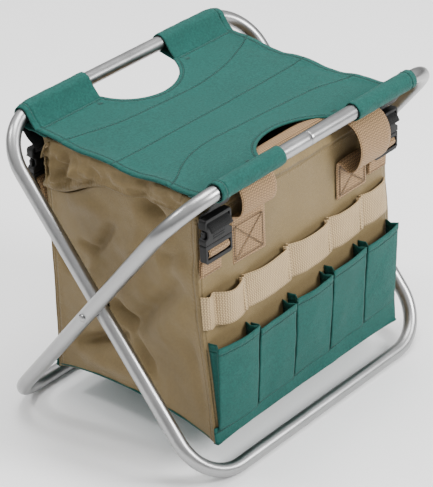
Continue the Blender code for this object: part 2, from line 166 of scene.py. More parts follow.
# side, end: position, line of the leg, shift in x, lean outward, height of the sewn box
LEGS = {
    (-1, -1): (LEFT_LEG, 0.001, 0.0, 0.043), (-1, 1): (RIGHT_LEG, 0.003, 0.22, 0.038),
    (1, -1): (REAR_LEG, 0.0, 0.0, 0.043), (1, 1): (REAR_LEG, 0.0, 0.0, 0.043),
}
BUCKLE_XS = {(-1, -1): -0.138, (-1, 1): 0.1285, (1, -1): -0.138, (1, 1): 0.138}
BUCKLE_Y = 0.1195
BUCKLE_HALF_W = 0.02
BUCKLE_LOW, BUCKLE_HIGH = 0.2775, 0.306
PLUG_LOW = 0.256
SLOT_HALF_W = 0.0166
STRAP_W = 0.032
TAB_W = 0.03

# ---- colours, as scene-linear values
GREEN = (0.007, 0.07, 0.058)
TAN = (0.181, 0.129, 0.057)
WEB = (0.275, 0.17, 0.084)
# the loops' webbing is the same webbing as WEB, painted lighter: the difference between the two is painted light
# and shade
LOOP_WEB_PAINTED_LIGHTER = (0.44, 0.318, 0.172)
BLACK = (0.003, 0.003, 0.003)
BOARD = (0.03, 0.03, 0.03)
ALUMINIUM = (0.34, 0.34, 0.34)
PAPER = ((0.95, 0.95, 0.95), (0.97, 0.97, 0.97))

FAR = 1.0  # a seam distance that means no seam near
UP = (0, 0, 1)


# ==== node materials
def darker(colour, share):
    return tuple(c * share for c in colour)


class Look:
    """A node material under construction; its methods add nodes and return their output sockets."""

    def __init__(self, name):
        self.material = bpy.data.materials.new(name)
        self.material.use_nodes = True
        self.tree = self.material.node_tree
        self.shader = self.tree.nodes["Principled BSDF"]

    def feed(self, socket, value):
        if isinstance(value, bpy.types.NodeSocket):
            self.tree.links.new(value, socket)
        else:
            socket.default_value = value

    def node(self, kind, *values, **settings):
        """A new node with these settings; the values, numbers or sockets, go to its first inputs."""
        node = self.tree.nodes.new(f"ShaderNode{kind}")
        for name, value in settings.items():
            setattr(node, name, value)
        for socket, value in zip(node.inputs, values):
            self.feed(socket, value)
        return node

    def math(self, operation, a, b=0.0):
        return self.node("Math", a, b, operation=operation).outputs[0]

    def times(self, a, b):
        return self.math("MULTIPLY", a, b)

    def minus(self, a, b):
        return self.math("SUBTRACT", a, b)

    def total(self, first, *others):
        for other in others:
            first = self.math("ADD", first, other)
        return first

    def attribute(self, name):
        return self.node("Attribute", attribute_name=name).outputs["Vector"]

    def split(self, vector):
        return self.node("SeparateXYZ", vector).outputs

    def join(self, x, y):
        return self.node("CombineXYZ", x, y).outputs[0]

    def place(self):
        return self.node("TexCoord").outputs["Object"]

    def noise(self, vector, scale, detail=2.0, roughness=0.5):
        node = self.node("TexNoise")
        for name, value in (("Vector", vector), ("Scale", scale), ("Detail", detail), ("Roughness", roughness)):
            self.feed(node.inputs[name], value)
        return node.outputs["Fac"]

    def spread(self, value, low, high, to_low, to_high):
        return self.node("MapRange", value, low, high, to_low, to_high).outputs[0]

    def mix(self, share, a, b):
        node = self.node("Mix", share, data_type="RGBA")
        for socket, colour in zip([s for s in node.inputs if s.type == "RGBA"], (a, b)):
            self.feed(socket, (*colour, 1.0))
        return [s for s in node.outputs if s.type == "RGBA"][0]

    def shade(self, tone, colour, reach=0.5):
        """The colour times tone, for a tone within this reach of 1."""
        low, high = 1 - reach, 1 + reach
        return self.mix(self.spread(tone, low, high, 0.0, 1.0), darker(colour, low), darker(colour, high))

    def bump(self, height, distance, normal=None):
        node = self.node("Bump")
        node.inputs["Distance"].default_value = distance
        self.feed(node.inputs["Height"], height)
        if normal is not None:
            self.feed(node.inputs["Normal"], normal)
        return node.outputs[0]

    def finish(self, **inputs):
        for name, value in inputs.items():
            self.feed(self.shader.inputs[name.replace("_", " ")], value)
        return self.material


def seam_groove(look, width):
    """1 on a seam line, falling to 0 a few widths away; the mesh carries signed distances to its seams."""
    lines = []
    for name in ("seam", "seam_b"):
        for distance in look.split(look.attribute(name)):
            scaled = look.math("DIVIDE", distance, width)
            lines.append(look.math("EXPONENT", look.times(look.times(scaled, scaled), -1.0)))
    return look.math("MINIMUM", look.total(*lines), 1.0)


def cloth_look(name, colour, thread, weave_depth, roughness, sheen, fade, speckle):
    """Plain-woven cloth: threads both ways, slubs, faded patches, and seams pressed in. Its tone also holds painted
    light and shade: on the thread crossings, as a painted highlight on the puckers beside the seams and as painted
    shade in the seam grooves.
    """
    look = Look(name)
    u, v, _ = look.split(look.attribute("cloth"))
    weave = look.times(*(look.math("SINE", look.times(w, pi / thread)) for w in (u, v)))
    slubs = (look.join(look.times(u, 0.06), v), look.join(u, look.times(v, 0.06)))
    slub = look.total(*(look.noise(place, 0.9 / thread, 1.0) for place in slubs))
    groove = seam_groove(look, 0.0011)
    # puckers beside the seams: they raise the bump and also lighten the tone as a painted highlight
    pucker_and_highlight = look.times(seam_groove(look, 0.0055), look.noise(look.join(u, v), 330.0, 1.5, 0.6))
    patches = look.noise(look.place(), 14.0, 4.0, 0.6)
    grain = look.noise(look.place(), 420.0, 2.0, 0.7)
    # the weave term is painted light and shade on the thread crossings, the pucker term a painted highlight and the
    # groove term painted shade in the seams; patches, slubs and grain are the cloth's own uneven tone
    tone = look.total(
        look.spread(patches, 0.25, 0.75, 1.0 - fade, 1.0 + fade), look.spread(slub, 0.6, 1.4, -0.07, 0.07),
        look.spread(grain, 0.3, 0.7, -speckle, speckle), look.times(weave, 0.05),
        look.spread(pucker_and_highlight, 0.0, 1.0, 0.0, 0.1), look.times(groove, -0.17),
    )
    fine = look.bump(look.total(look.times(weave, 0.5), look.times(slub, 0.6)), weave_depth)
    pressed = look.bump(look.minus(look.times(pucker_and_highlight, 1.6), groove), 0.001, fine)
    rough = look.spread(look.total(slub, patches), 0.9, 2.1, roughness - 0.06, roughness + 0.06)
    return look.finish(Base_Color=look.shade(tone, colour), Roughness=rough, Normal=pressed, Sheen_Weight=sheen,
                       Sheen_Roughness=0.45, Specular_IOR_Level=0.22)


def webbing_look(name, colour, rib, pick, roughness, depth=0.0005):
    """Narrow webbing: rows of raised floats, each row half a step on from the next. The floats are painted lighter
    and the hollows between them darker, as painted light and shade, and the seam grooves get painted shade. u runs
    along the strap.
    """
    look = Look(name)
    u, v, _ = look.split(look.attribute("cloth"))
    row = look.math("DIVIDE", v, rib)
    half_step = look.times(look.math("FLOORED_MODULO", look.math("FLOOR", row), 2.0), 0.25)
    step = look.total(look.math("DIVIDE", u, pick), half_step)
    floats = (look.math("ABSOLUTE", look.math("SINE", look.times(w, pi))) for w in (step, row))
    raised = look.math("SQRT", look.times(*floats))
    groove = seam_groove(look, 0.0009)
    patches = look.noise(look.place(), 30.0, 3.0, 0.6)
    fibre = look.noise(look.join(look.times(u, 0.15), v), 2200.0, 1.0)
    # raised floats lighter and the hollows between them darker is painted light and shade; the groove term is
    # painted shade in the seams; patches and fibre are the webbing's own uneven tone
    tone = look.total(
        look.spread(raised, 0.2, 0.9, 0.38, 1.36), look.spread(patches, 0.25, 0.75, -0.07, 0.07),
        look.spread(fibre, 0.3, 0.7, -0.07, 0.07), look.times(groove, -0.4),
    )
    woven = look.bump(look.total(raised, look.times(fibre, 0.3)), depth)
    pressed = look.bump(look.times(groove, -1.0), 0.0008, woven)
    return look.finish(Base_Color=look.shade(tone, colour, 0.8), Roughness=roughness, Normal=pressed,
                       Sheen_Weight=0.05, Sheen_Roughness=0.4, Specular_IOR_Level=0.25)


def metal_look(name, colour, roughness):
    """Drawn aluminium: fine lines along the tube, faint smudges and a few scratches."""
    look = Look(name)
    u, v, _ = look.split(look.attribute("cloth"))
    lines = look.noise(look.join(look.times(u, 0.02), v), 3500.0, 2.0, 0.6)
    smudge = look.noise(look.place(), 22.0, 4.0, 0.6)
    scratch = look.noise(look.join(look.times(u, 9.0), look.times(v, 60.0)), 14.0, 3.0, 0.7)
    scratch = look.spread(scratch, 0.62, 0.7, 0.0, 1.0)
    tone = look.total(look.spread(lines, 0.3, 0.7, 0.94, 1.05), look.spread(smudge, 0.3, 0.7, -0.06, 0.05),
                      look.times(scratch, 0.05))
    rough = look.total(look.spread(smudge, 0.3, 0.7, roughness - 0.04, roughness + 0.07),
                       look.spread(lines, 0.3, 0.7, -0.03, 0.03))
    height = look.total(look.times(lines, 0.6), look.times(scratch, -0.4))
    return look.finish(Base_Color=look.shade(tone, colour), Roughness=rough, Normal=look.bump(height, 0.00003),
                       Metallic=1.0)


def plastic_look(name, colour, roughness):
    """Moulded acetal with a fine spark texture and rubbed spots."""
    look = Look(name)
    spark = look.noise(look.place(), 1800.0, 2.0, 0.6)
    rub = look.noise(look.place(), 70.0, 4.0, 0.65)
    tone = look.total(look.spread(spark, 0.3, 0.7, 0.9, 1.1), look.spread(rub, 0.35, 0.75, -0.12, 0.3))
    rough = look.spread(rub, 0.3, 0.75, roughness + 0.06, roughness - 0.07)
    return look.finish(Base_Color=look.shade(tone, colour), Roughness=rough, Normal=look.bump(spark, 0.00006),
                       Specular_IOR_Level=0.26)


def thread_look(name, colour):
    """Twisted sewing thread, painted lighter and darker along its twist as painted light and shade."""
    look = Look(name)
    u, v, _ = look.split(look.attribute("cloth"))
    twist = look.math("SINE", look.times(look.total(u, v), 2 * pi / 0.0008))
    # lighter on each ply of the twist and darker between them: painted light and shade
    paint = look.mix(look.spread(twist, -1.0, 1.0, 0.2, 0.8), darker(colour, 0.7), darker(colour, 1.3))
    return look.finish(Base_Color=paint, Roughness=0.6, Normal=look.bump(twist, 0.00008), Sheen_Weight=0.1)


LOOKS = {  # name: material and its slot
    "canvas": (cloth_look("canvas_green", GREEN, 0.00065, 0.00022, 0.78, 0.04, 0.06, 0.24), "canvas"),
    "bag": (cloth_look("bag_tan", TAN, 0.0005, 0.00014, 0.54, 0.08, 0.08, 0.08), "bag_cloth"),
    "webbing": (webbing_look("webbing_tan", WEB, 0.0023, 0.003, 0.66), "webbing"),
    # the loops share the handles' webbing slot; their lighter colour is painted light
    "loop": (webbing_look("webbing_loops_painted_lighter", LOOP_WEB_PAINTED_LIGHTER, 0.002, 0.0026, 0.66), "webbing"),
    "strap": (webbing_look("strap_black", BLACK, 0.0015, 0.002, 0.6, 0.0004), "black_strap"),
    "metal": (metal_look("tube_satin", ALUMINIUM, 0.31), "tube"),
    "rivet": (metal_look("rivet_plain", darker(ALUMINIUM, 0.9), 0.24), "rivet"),
    "plastic": (plastic_look("buckle_black", BLACK, 0.47), "plastic"),
    "board": (plastic_look("board_black", BOARD, 0.6), "board"),
    "green_thread": (thread_look("thread_green", darker(GREEN, 0.85)), "canvas"),
    "web_thread": (thread_look("thread_brown", darker(WEB, 0.5)), "webbing"),
}


# ==== mesh helpers
def link(name, mesh, look):
    obj = bpy.data.objects.new(name, mesh)
    bpy.context.scene.collection.objects.link(obj)
    material, slot = LOOKS[look]
    mesh.materials.clear()
    mesh.materials.append(material)
    return obj


def mount(piece, body, node=None):
    """Rides a piece on a body, in place of a CAD node if one is named."""
    if node:
        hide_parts(node)
    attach(piece, body)


def set_attribute(mesh, name, values):
    attribute = mesh.attributes.get(name) or mesh.attributes.new(name, "FLOAT_VECTOR", "POINT")
    attribute.data.foreach_set("vector", np.asarray(values, np.float32).reshape(-1))


def mesh_of(name, verts, faces, cloth, seam=None):
    """A smooth mesh that carries its cloth coordinates and up to six signed seam distances."""
    mesh = bpy.data.meshes.new(name)
    mesh.from_pydata([tuple(v) for v in verts], [], faces)
    mesh.polygons.foreach_set("use_smooth", [True] * len(mesh.polygons))
    distances = np.full((len(verts), 6), FAR)
    if seam is not None:
        distances[:, : len(seam[0])] = seam
    for attribute, values in (("cloth", cloth), ("seam", distances[:, :3]), ("seam_b", distances[:, 3:])):
        set_attribute(mesh, attribute, values)
    return mesh


def grid_faces(columns, rows, closed_columns=False):
    """Faces of a grid whose points are stored column by column."""
    faces = []
    for i in range(columns if closed_columns else columns - 1):
        n = (i + 1) % columns
        for j in range(rows - 1):
            faces.append((i * rows + j, n * rows + j, n * rows + j + 1, i * rows + j + 1))
    return faces


def face_outward(mesh, toward):
    """Turns the faces of an open sheet so that they look along a direction on average."""
    total = Vector((0, 0, 0))
    for polygon in mesh.polygons:
        total += polygon.normal * polygon.area
    if total.dot(Vector(toward)) < 0:
        mesh.flip_normals()


def sheet(name, columns, rows, at, look, toward, thickness=CLOTH_T, offset=-1.0):
    """A sheet of cloth and its grid of points; at(i, j) is a point, its cloth coordinates and seam distances."""
    points, cloth, seam = zip(*(at(i, j) for i in range(columns) for j in range(rows)))
    mesh = mesh_of(name, points, grid_faces(columns, rows), [(u, v, 0) for u, v in cloth], seam)
    if toward is not None:
        face_outward(mesh, toward)
    obj = link(name, mesh, look)
    solid = obj.modifiers.new("Thickness", "SOLIDIFY")
    solid.thickness = thickness
    solid.offset = offset
    solid.use_even_offset = False
    return obj, np.array(points).reshape(columns, rows, 3)


def smooth_path(points, step):
    """Points at equal steps along a Catmull-Rom curve through the given points."""
    points = [Vector(p) for p in points]
    ends = [points[0] * 2 - points[1]] + points + [points[-1] * 2 - points[-2]]
    fine = []
    for a, b, c, d in zip(ends, ends[1:], ends[2:], ends[3:]):
        square, cube = 2 * a - 5 * b + 4 * c - d, 3 * b - a - 3 * c + d
        for t in (k / 16 for k in range(16)):
            fine.append(0.5 * (2 * b + (c - a) * t + square * t**2 + cube * t**3))
    fine.append(points[-1])
    lengths = np.concatenate([[0], np.cumsum([(q - p).length for p, q in zip(fine, fine[1:])])])
    table = np.array([tuple(p) for p in fine])
    at = np.linspace(0, lengths[-1], max(2, round(lengths[-1] / step) + 1))
    return np.stack([np.interp(at, lengths, table[:, k]) for k in range(3)], axis=1)


def path_lengths(path):
    return np.concatenate([[0], np.cumsum(np.linalg.norm(np.diff(path, axis=0), axis=1))])


def unit(rows):
    return rows / np.linalg.norm(rows, axis=1)[:, None]


def on_each(vector, path):
    """A direction given once or for each point of a path, as one row a point."""
    vector = np.asarray(vector, float)
    return np.tile(vector, (len(path), 1)) if vector.ndim == 1 else vector


def strap(name, path, width, thickness, look, side=(1, 0, 0), seam=None, crown=0.0):
    """Flat webbing with rounded edges along a path; side is the direction across it."""
    path = np.asarray(path)
    sides = on_each(side, path)
    normals = unit(np.cross(unit(np.gradient(path, axis=0)), sides))
    steps = 12
    outline = [-1 + 2 * k / steps for k in range(steps + 1)]
    outline = [(w, sqrt(max(0.0, 1 - abs(w) ** 8)) * 0.5 + 0.02) for w in outline]
    loop = outline + [(w, -h) for w, h in outline[::-1]]
    verts, cloth = [], []
    for p, n, s, length in zip(path, normals, sides, path_lengths(path)):
        for w, h in loop:
            verts.append(p + s * w * width / 2 + n * (h * thickness + crown * (1 - w * w)))
            cloth.append((length, w * width / 2, 0))
    m, rings = len(loop), len(path)
    faces = []
    for i in range(rings - 1):
        for k in range(m):
            n = (k + 1) % m
            faces.append((i * m + k, i * m + n, (i + 1) * m + n, (i + 1) * m + k))
    for base, step in ((0, -1), ((rings - 1) * m, 1)):
        for k in range(m // 2 - 1):
            faces.append((base + k, base + k + 1, base + m - 2 - k, base + m - 1 - k)[::step])
    mesh = mesh_of(name, verts, faces, cloth)
    recalculate(mesh)
    if seam is not None:
        set_attribute(mesh, "seam", [seam(*c[:2]) for c in cloth])
    return link(name, mesh, look)


def recalculate(mesh):
    """Turns every face of a closed mesh outward."""
    work = bmesh.new()
    work.from_mesh(mesh)
    bmesh.ops.recalc_face_normals(work, faces=work.faces)
    work.to_mesh(mesh)
    work.free()


THREAD_RINGS = ((-0.5, -1.1, 0.6), (-0.36, 0.3, 1.0), (0.0, 0.65, 1.1), (0.36, 0.3, 1.0), (0.5, -1.1, 0.6))
THREAD_SIDES = 6


def stitches(name, runs, look, pitch=0.0034, length=0.0026, radius=0.00032):
    """Rows of short threads; each run is a path and the direction that its threads stand up in."""
    verts, faces, cloth = [], [], []
    for path, up in runs:
        path = np.asarray(path, float)
        lengths = path_lengths(path)
        ups = on_each(up, path)

        def on(table, at):
            return Vector([np.interp(at, lengths, table[:, c]) for c in range(3)])

        count = int(lengths[-1] / pitch)
        for k in range(count):
            base = len(verts)
            for along, lift, girth in THREAD_RINGS:
                at = (k + 0.5) * lengths[-1] / count + along * length
                n = on(ups, at).normalized()
                side = (on(path, at + 0.0002) - on(path, at - 0.0002)).cross(n).normalized()
                for s in range(THREAD_SIDES):
                    a = 2 * pi * s / THREAD_SIDES
                    offset = side * cos(a) + n * sin(a)
                    verts.append(on(path, at) + n * lift * radius + offset * radius * girth)
                    cloth.append((at, s * radius, 0))
            for a in range(base, base + (len(THREAD_RINGS) - 1) * THREAD_SIDES, THREAD_SIDES):
                for s in range(THREAD_SIDES):
                    n = (s + 1) % THREAD_SIDES
                    faces.append((a + s, a + n, a + THREAD_SIDES + n, a + THREAD_SIDES + s))
            faces.append(tuple(range(base, base + THREAD_SIDES))[::-1])
            faces.append(tuple(range(len(verts) - THREAD_SIDES, len(verts))))
    mesh = mesh_of(name, verts, faces, cloth)
    recalculate(mesh)
    return link(name, mesh, look)


def ripple(x, y, z, size, seed):
    """Smooth noise from -1 to 1 with bumps of about this size."""
    return noise.noise(Vector((x / size + seed * 7.3, y / size - seed * 3.1, z / size + seed * 1.7)))


def bell(value, centre, width):
    return exp(-(((value - centre) / width) ** 2))


def clip(t):
    return min(1.0, max(0.0, t))


def ease(t):
    t = clip(t)
    return t * t * (3 - 2 * t)


def crease(y, z, start, end, width, height):
    """A soft fold along a line in the plane of a bag end: height on the line, 0 a few widths off it."""
    a, b, p = Vector(start), Vector(end), Vector((y, z))
    t = (p - a).dot(b - a) / (b - a).length_squared
    fade = ease(1.0 - abs(2 * min(1.2, max(-0.2, t)) - 1.0) * 0.75 + 0.25)
    return height * fade * bell((p - a - (b - a) * clip(t)).length, 0, width)


# ==== camera, light and floor
def make_camera():
    """The camera that was fitted to the photograph."""
    azimuth, elevation, roll = (radians(a) for a in (-47.1, 31.01, -2.51))
    back = Vector((sin(azimuth) * cos(elevation), -cos(azimuth) * cos(elevation), sin(elevation)))
    right = Vector((cos(azimuth), sin(azimuth), 0))
    up = back.cross(right)
    target = Vector((0, 0, 0.2)) - right * 0.006 - up * 0.0329
    distance = 2.188
    data = bpy.data.cameras.new("camera")
    data.lens = 151.05
    data.sensor_width = 36
    data.clip_end = 30
    camera = bpy.data.objects.new("camera", data)
    turned = (right * cos(roll) + up * sin(roll), up * cos(roll) - right * sin(roll), back)
    matrix = Matrix(turned).transposed().to_4x4()
    matrix.translation = target + back * distance
    camera.matrix_world = matrix
    bpy.context.scene.collection.objects.link(camera)
    bpy.context.scene.camera = camera


def area_light(name, place, size, power):
    """A square light that looks at the middle of the stool."""
    data = bpy.data.lights.new(name, "AREA")
    data.shape = "RECTANGLE"
    data.size = data.size_y = size
    data.energy = power
    light = bpy.data.objects.new(name, data)
    light.location = place
    light.rotation_euler = (Vector((0, 0, 0.2)) - Vector(place)).to_track_quat("-Z", "Y").to_euler()
    bpy.context.scene.collection.objects.link(light)


def make_studio():
    """A world that is brighter above than at the horizon, three soft lights and a paper floor."""
    world = bpy.data.worlds.new("studio")
    world.use_nodes = True
    nodes, links = world.node_tree.nodes, world.node_tree.links
    background = nodes["Background"]
    background.inputs["Strength"].default_value = 1.05
    direction, split, ramp = (nodes.new(f"ShaderNode{kind}") for kind in ("TexCoord", "SeparateXYZ", "MapRange"))
    for socket, value in zip(ramp.inputs[1:5], (-0.05, 0.6, 0.16, 1.0)):
        socket.default_value = value
    links.new(direction.outputs["Generated"], split.inputs[0])
    links.new(split.outputs["Z"], ramp.inputs[0])
    links.new(ramp.outputs[0], background.inputs["Color"])
    bpy.context.scene.world = world
    area_light("key", (0.9, -1.9, 1.5), 0.8, 70)
    area_light("top", (0.3, 0.1, 2.4), 1.2, 50)
    area_light("side", (-0.9, 1.3, 1.9), 0.35, 16)
    mesh = bpy.data.meshes.new("floor")
    mesh.from_pydata([(-6, -6, 0), (6, -6, 0), (6, 6, 0), (-6, 6, 0)], [], [(0, 1, 2, 3)])
    floor = bpy.data.objects.new("floor", mesh)
    floor.location = (0, 0, -0.0002)
    look = Look("floor_paper")
    grain = look.noise(look.place(), 300.0)
    paint = look.mix(look.spread(grain, 0.3, 0.7, 0.0, 1.0), *PAPER)
    mesh.materials.append(look.finish(Base_Color=paint, Roughness=0.9))
    bpy.context.scene.collection.objects.link(floor)


# ==== frame
def hoop_axes(side):
    """Foot, direction along the legs and normal of a hoop; side is -1 when its top bar is at -Y."""
    along = np.array((0, side * sin(LEAN), cos(LEAN)))
    normal = np.array((0, cos(LEAN), -side * sin(LEAN)))
    foot = np.array((0, -side * LEG_BELOW * sin(LEAN), FLOOR_Z))
    return foot, along, normal


def hoop_stations(width, seam_x):
    """Stations round a hoop from its butt joint and back: (u, s, outward angle, radius share, ovality)."""
    reach = width / 2 - BEND_R
    joint = ((0.0, 0.8), (0.0005, 0.81), (0.0006, 0.98), (0.001, 1.0), (0.004, 1.0))
    stations = [(seam_x + off, LEG, 90, share, 0) for off, share in joint]
    corners = ((reach, LEG - BEND_R, 90), (reach, BEND_R, 0), (-reach, BEND_R, -90), (-reach, LEG - BEND_R, -180))
    for cu, cs, start in corners:
        for k in range(BEND_STEPS + 1):
            a = start - 90 * k / BEND_STEPS
            u, s = cu + BEND_R * cos(radians(a)), cs + BEND_R * sin(radians(a))
            stations.append((u, s, a, 1.0, sin(pi * k / BEND_STEPS)))
    return stations + [(seam_x - off, LEG, 90, share, 0) for off, share in joint[:0:-1]]


def make_hoop(name, side, seam_x):
    """One bent tube with a fine ring where its ends meet; its bends are slightly flattened."""
    foot, along, normal = hoop_axes(side)
    across = np.array((1.0, 0, 0))
    stations = hoop_stations(HOOP_W[side], seam_x)
    centres = [foot + across * u + along * s for u, s, _, _, _ in stations]
    verts, cloth = [], []
    for centre, travelled, (_, _, angle, share, oval) in zip(centres, path_lengths(np.array(centres)), stations):
        a = radians(angle)
        outward = across * cos(a) + along * sin(a)
        out, wide = TUBE_R * share * (1 - 0.035 * oval), TUBE_R * share * (1 + 0.02 * oval)
        for k in range(TUBE_SIDES):
            b = 2 * pi * k / TUBE_SIDES
            verts.append(centre + outward * cos(b) * out + normal * sin(b) * wide)
            cloth.append((travelled, k * 2 * pi * TUBE_R / TUBE_SIDES, 0))
    faces = grid_faces(len(stations), TUBE_SIDES, closed_columns=True)
    for i in range(len(stations)):
        this, following = i * TUBE_SIDES, (i + 1) % len(stations) * TUBE_SIDES
        faces.append((this + TUBE_SIDES - 1, following + TUBE_SIDES - 1, following, this))
    mesh = mesh_of(name, verts, faces, cloth)
    recalculate(mesh)
    mount(link(name, mesh, "metal"), HOOP_BODY[side], f"{name}_tube")


def make_frame():
    """Both hoops, and finished materials for the CAD nodes that stay."""
    make_hoop("outer_hoop", -1, -0.015)
    make_hoop("inner_hoop", 1, 0.105)
    for look, nodes in (
        ("metal", ("outer_hoop_joint_sleeve", "inner_hoop_joint_sleeve")),
        ("rivet", ("pivot_rivet_left", "pivot_rivet_right", "pivot_washer_left", "pivot_washer_right")),
        ("plastic", ("pivot_spacer_left", "pivot_spacer_right")),
    ):
        for node in nodes:
            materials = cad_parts[node].data.materials
            materials.clear()
            materials.append(LOOKS[look][0])


# ==== seat
def seat_height(x, y):
    """Top of the taut canvas, with its slight unevenness."""
    rise = 0.0062 * max(0.0, (abs(y) - 0.02) / 0.1035) ** 1.6
    inner = max(0.0, 1 - (abs(y) / SLEEVE_SEAM_Y) ** 4)
    sag = -0.0012 * bell(x, 0.0, 0.09) * inner
    wave = 0.0008 * ripple(x, y, 0, 0.045, 1) * inner
    flutter = 0.0016 * sin(y / 0.0125 + (1.1 if x > 0 else 0.0)) + 0.0008 * ripple(x, y, 0, 0.016, 3)
    edge_wave = ease((abs(x) - 0.125) / 0.027) * inner * flutter
    hem = 0.0006 * ease((abs(x) - 0.1425) / 0.0016)
    lip = -0.001 * ease((abs(x) - 0.1495) / 0.0025)
    return SEAT_Z + rise + sag + wave + edge_wave + hem + lip


HOLE_START = asin((TOP_Y - SLEEVE_SEAM_Y) / HAND_R)  # angle where the hand hole meets the sleeves' seam


def seat_edge(t, side):
    """Front or rear boundary of the flat canvas, from the left edge round the hand hole to the right edge."""
    half_gap = HAND_R * cos(HOLE_START)
    straight = SEAT_HALF_W - half_gap
    arc = HAND_R * (pi - 2 * HOLE_START)
    at = t * (2 * straight + arc)
    if at <= straight:
        return -SEAT_HALF_W + at, side * SLEEVE_SEAM_Y
    if at >= straight + arc:
        return half_gap + at - straight - arc, side * SLEEVE_SEAM_Y
    a = HOLE_START + (at - straight) / HAND_R
    return -HAND_R * cos(a), side * (TOP_Y - HAND_R * sin(a))


def seat_seams(x, y, arcs):
    """Signed distances to the centre line, the two arcs, the side hems, the sleeve rows and the hole's hem."""
    side = -1 if y < 0 else 1
    hole = hypot(x, y - side * TOP_Y) - HOLE_HEM_R
    front, rear = (float(np.interp(x, *zip(*arc))) for arc in arcs)
    sleeve_row = (abs(y) - STITCH_ROW_Y) * 2.5
    return y - CENTRE_SEAM_Y, (y - front) * 0.92, (y - rear) * 0.95, abs(x) - SIDE_SEAM_X, sleeve_row, hole


def make_seat():
    """The canvas seat with its rows of stitching, and the four sleeves."""
    columns, middle = 132, 36
    arcs = [[tuple(p[:2]) for p in smooth_path([(*p, 0) for p in arc], 0.004)] for arc in (FRONT_ARC, REAR_ARC)]

    def at(i, j):
        t = i / (columns - 1)
        edge_x, edge_y = seat_edge(t, -1 if j < middle else 1)
        middle_x = 0.55 * edge_x + 0.45 * (2 * t - 1) * SEAT_HALF_W
        reach = (abs(j - middle) / middle) ** 0.9
        x, y = middle_x + (edge_x - middle_x) * reach, edge_y * reach
        return (x, y, seat_height(x, y)), (x, y), seat_seams(x, y, arcs)

    panel, _ = sheet("seat_panel", columns, 2 * middle + 1, at, "canvas", UP, 0.0016)
    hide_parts("seat_canvas")

    def straight(x0, y0, x1, y1):
        count = max(2, int(hypot(x1 - x0, y1 - y0) / 0.003))
        return [(x0 + (x1 - x0) * k / count, y0 + (y1 - y0) * k / count) for k in range(count + 1)]

    lines = [straight(-0.1505, CENTRE_SEAM_Y, 0.1505, CENTRE_SEAM_Y)]
    lines += [[p for p in arc if abs(p[0]) < 0.151] for arc in arcs]
    for end in ENDS:
        lines.append(straight(end * SIDE_SEAM_X, -0.112, end * SIDE_SEAM_X, 0.112))
        for side in SIDES:
            lines.append(straight(end * 0.064, side * STITCH_ROW_Y, end * 0.144, side * STITCH_ROW_Y))
    angles = [radians(26 + 128 * k / 60) for k in range(61)]
    for side in SIDES:
        lines.append([(-HOLE_HEM_R * cos(a), side * (TOP_Y - HOLE_HEM_R * sin(a))) for a in angles])
    runs = [([(x, y, seat_height(x, y) + 0.00015) for x, y in line], UP) for line in lines]
    sewn = stitches("seat_stitching", runs, "green_thread")
    tacks = bar_tacks()
    for piece in (panel, sewn, tacks):
        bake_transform(piece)
    for side in SIDES:
        for end in ENDS:
            make_sleeve(side, end)


def bar_tacks():
    """Short dense zigzags where the hand holes end."""
    runs = []
    for side in SIDES:
        for x in [end * (0.0655 + 0.0012 * k) for end in ENDS for k in range(5)]:
            height = seat_height(x, side * 0.1) + 0.0002
            runs.append(([(x, side * (0.1 + 0.001 * m), height) for m in range(7)], UP))
    return stitches("seat_bar_tacks", runs, "green_thread", 0.0016, 0.0016, 0.00036)


def sleeve_section():
    """Cloth round a bar as (inward, up) from the bar's centre: from the hem under the seat, round the bar,
    down to the seam on the seat."""
    inward, height = TOP_Y - SLEEVE_SEAM_Y, seat_height(0.1, SLEEVE_SEAM_Y) - TOP_Z
    seam, under = Vector((inward, height + 0.0002)), Vector((inward, height - 0.0026))
    hem = Vector((TOP_Y - 0.099, seat_height(0.1, 0.099) - TOP_Z - 0.0028))
    radius = TUBE_R + 0.0016
    low = degrees(atan2(under.y, under.x)) - degrees(acos(radius / under.length))
    high = degrees(atan2(seam.y, seam.x)) + degrees(acos(radius / seam.length))
    wraps = 30
    angles = [radians(low - (360 - (high - low)) * k / wraps) for k in range(wraps + 1)]
    round_bar = [Vector((cos(a), sin(a))) * radius for a in angles]
    line = [hem, (hem + under) / 2, under] + [under.lerp(round_bar[0], k / 4) for k in range(1, 4)] + round_bar
    for k in range(1, 9):
        p = round_bar[-1].lerp(seam, k / 8)
        p.y -= 0.0012 * sin(pi * k / 8)
        line.append(p)
    return line + [Vector((inward + 0.002, seam.y - 0.0017))]


